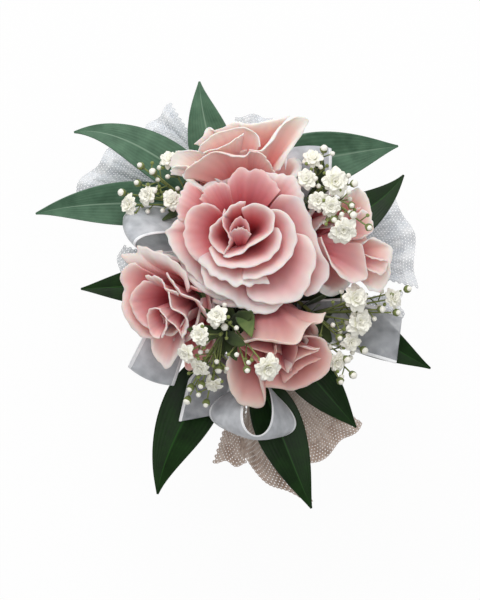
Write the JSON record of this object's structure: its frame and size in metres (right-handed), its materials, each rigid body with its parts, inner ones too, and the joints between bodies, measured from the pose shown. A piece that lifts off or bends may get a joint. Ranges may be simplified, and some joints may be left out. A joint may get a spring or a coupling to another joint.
{
  "type": "wrist corsage",
  "caption": "Wrist corsage: spray roses with ruscus leaves, gypsophila, sheer ribbon and tulle, taped into a bundle that a clasp holds on an elastic wristlet.",
  "frame": {"origin": "middle of the inner face of the elastic band's top, where it lies on the wrist", "axes": "+Z away from the wrist to the flowers, +Y along the forearm, +X across the wrist"},
  "size_m": [0.1283, 0.1387, 0.0955],
  "materials": {
    "woven_elastic": "ribbed woven elastic",
    "clasp_steel": "bright stamped sheet",
    "florist_tape": "stretched waxed crepe tape",
    "rose_petal": "velvet petal, pale at the rim",
    "rose_green": "matte sepal",
    "ruscus_leaf": "waxy leaf with a soft sheen",
    "sheer_ribbon": "sheer ribbon with satin edges",
    "tulle_net": "fine hexagonal net",
    "gypsophila": "small matte flowers on green stems"
  },
  "bodies": {
    "spray": {"elastic_band_upper": "woven_elastic", "clasp": "clasp_steel", "stem_bundle": "florist_tape", "rose_centre_stem": "florist_tape", "rose_top_stem": "florist_tape", "rose_left_stem": "florist_tape", "rose_bottom_stem": "florist_tape", "rose_right_stem": "florist_tape", "rose_centre_bloom": "rose_petal", "rose_top_bloom": "rose_petal", "rose_left_bloom": "rose_petal", "rose_bottom_bloom": "rose_petal", "rose_right_bloom": "rose_petal", "rose_centre_calyx": "rose_green", "rose_top_calyx": "rose_green", "rose_left_calyx": "rose_green", "rose_bottom_calyx": "rose_green", "rose_right_calyx": "rose_green", "ribbon_loop_left": "sheer_ribbon", "ribbon_loop_right": "sheer_ribbon", "ribbon_loop_lower_left": "sheer_ribbon", "ribbon_loop_bottom": "sheer_ribbon", "ribbon_tail_left": "sheer_ribbon", "ribbon_tail_right": "sheer_ribbon", "tulle_puff_1": "tulle_net", "tulle_puff_2": "tulle_net", "tulle_puff_3": "tulle_net", "tulle_puff_4": "tulle_net", "tulle_puff_5": "tulle_net", "tulle_puff_6": "tulle_net", "tulle_puff_7": "tulle_net", "tulle_puff_8": "tulle_net", "tulle_puff_9": "tulle_net", "gypsophila_sprig_1": "gypsophila", "gypsophila_sprig_2": "gypsophila", "gypsophila_sprig_3": "gypsophila", "gypsophila_sprig_4": "gypsophila", "gypsophila_sprig_5": "gypsophila", "gypsophila_sprig_6": "gypsophila"},
    "band_lower": {"elastic_band_lower": "woven_elastic"},
    "leaf_1": {"ruscus_leaf_1": "ruscus_leaf"},
    "leaf_2": {"ruscus_leaf_2": "ruscus_leaf"},
    "leaf_3": {"ruscus_leaf_3": "ruscus_leaf"},
    "leaf_4": {"ruscus_leaf_4": "ruscus_leaf"},
    "leaf_5": {"ruscus_leaf_5": "ruscus_leaf"},
    "leaf_6": {"ruscus_leaf_6": "ruscus_leaf"},
    "leaf_7": {"ruscus_leaf_7": "ruscus_leaf"},
    "leaf_8": {"ruscus_leaf_8": "ruscus_leaf"},
    "leaf_9": {"ruscus_leaf_9": "ruscus_leaf"},
    "leaf_10": {"ruscus_leaf_10": "ruscus_leaf"}
  },
  "joints": [
    {"name": "band_stretch", "type": "slide", "parent": "spray", "child": "band_lower", "axis": [0, 0, -1], "range_m": [0, 0.022], "stiffness_N_per_m": 150},
    {"name": "leaf_1_bend", "type": "hinge", "parent": "spray", "child": "leaf_1", "pos_m": [-0.00524, 0.021, 0.01021], "axis": [0.5878, 0.809, 0], "range_deg": [-3, 9]},
    {"name": "leaf_2_bend", "type": "hinge", "parent": "spray", "child": "leaf_2", "pos_m": [-0.00585, 0.015, 0.00859], "axis": [0, 1, 0], "range_deg": [-9, 3]},
    {"name": "leaf_3_bend", "type": "hinge", "parent": "spray", "child": "leaf_3", "pos_m": [-0.00465, 0.025, 0.0079], "axis": [0.9613, 0.2756, 0], "range_deg": [-9, 3]},
    {"name": "leaf_4_bend", "type": "hinge", "parent": "spray", "child": "leaf_4", "pos_m": [-0.00089, 0.0273, 0.00875], "axis": [0.1908, -0.9816, 0], "range_deg": [-9, 3]},
    {"name": "leaf_5_bend", "type": "hinge", "parent": "spray", "child": "leaf_5", "pos_m": [0.00592, 0.0026, 0.00935], "axis": [0.4384, -0.8988, 0], "range_deg": [-9, 3]},
    {"name": "leaf_6_bend", "type": "hinge", "parent": "spray", "child": "leaf_6", "pos_m": [-0.00594, -0.0025, 0.00842], "axis": [-0.0523, 0.9986, 0], "range_deg": [-9, 3]},
    {"name": "leaf_7_bend", "type": "hinge", "parent": "spray", "child": "leaf_7", "pos_m": [-0.00543, -0.021, 0.00893], "axis": [-0.866, 0.5, 0], "range_deg": [-9, 3]},
    {"name": "leaf_8_bend", "type": "hinge", "parent": "spray", "child": "leaf_8", "pos_m": [0.00158, -0.0273, 0.00875], "axis": [-0.9336, -0.3584, 0], "range_deg": [-9, 3]},
    {"name": "leaf_9_bend", "type": "hinge", "parent": "spray", "child": "leaf_9", "pos_m": [0.00577, -0.017, 0.00892], "axis": [-0.7547, -0.6561, 0], "range_deg": [-9, 3]},
    {"name": "leaf_10_bend", "type": "hinge", "parent": "spray", "child": "leaf_10", "pos_m": [0.00594, -0.0026, 0.00912], "axis": [-0.5299, -0.848, 0], "range_deg": [-9, 3]}
  ]
}
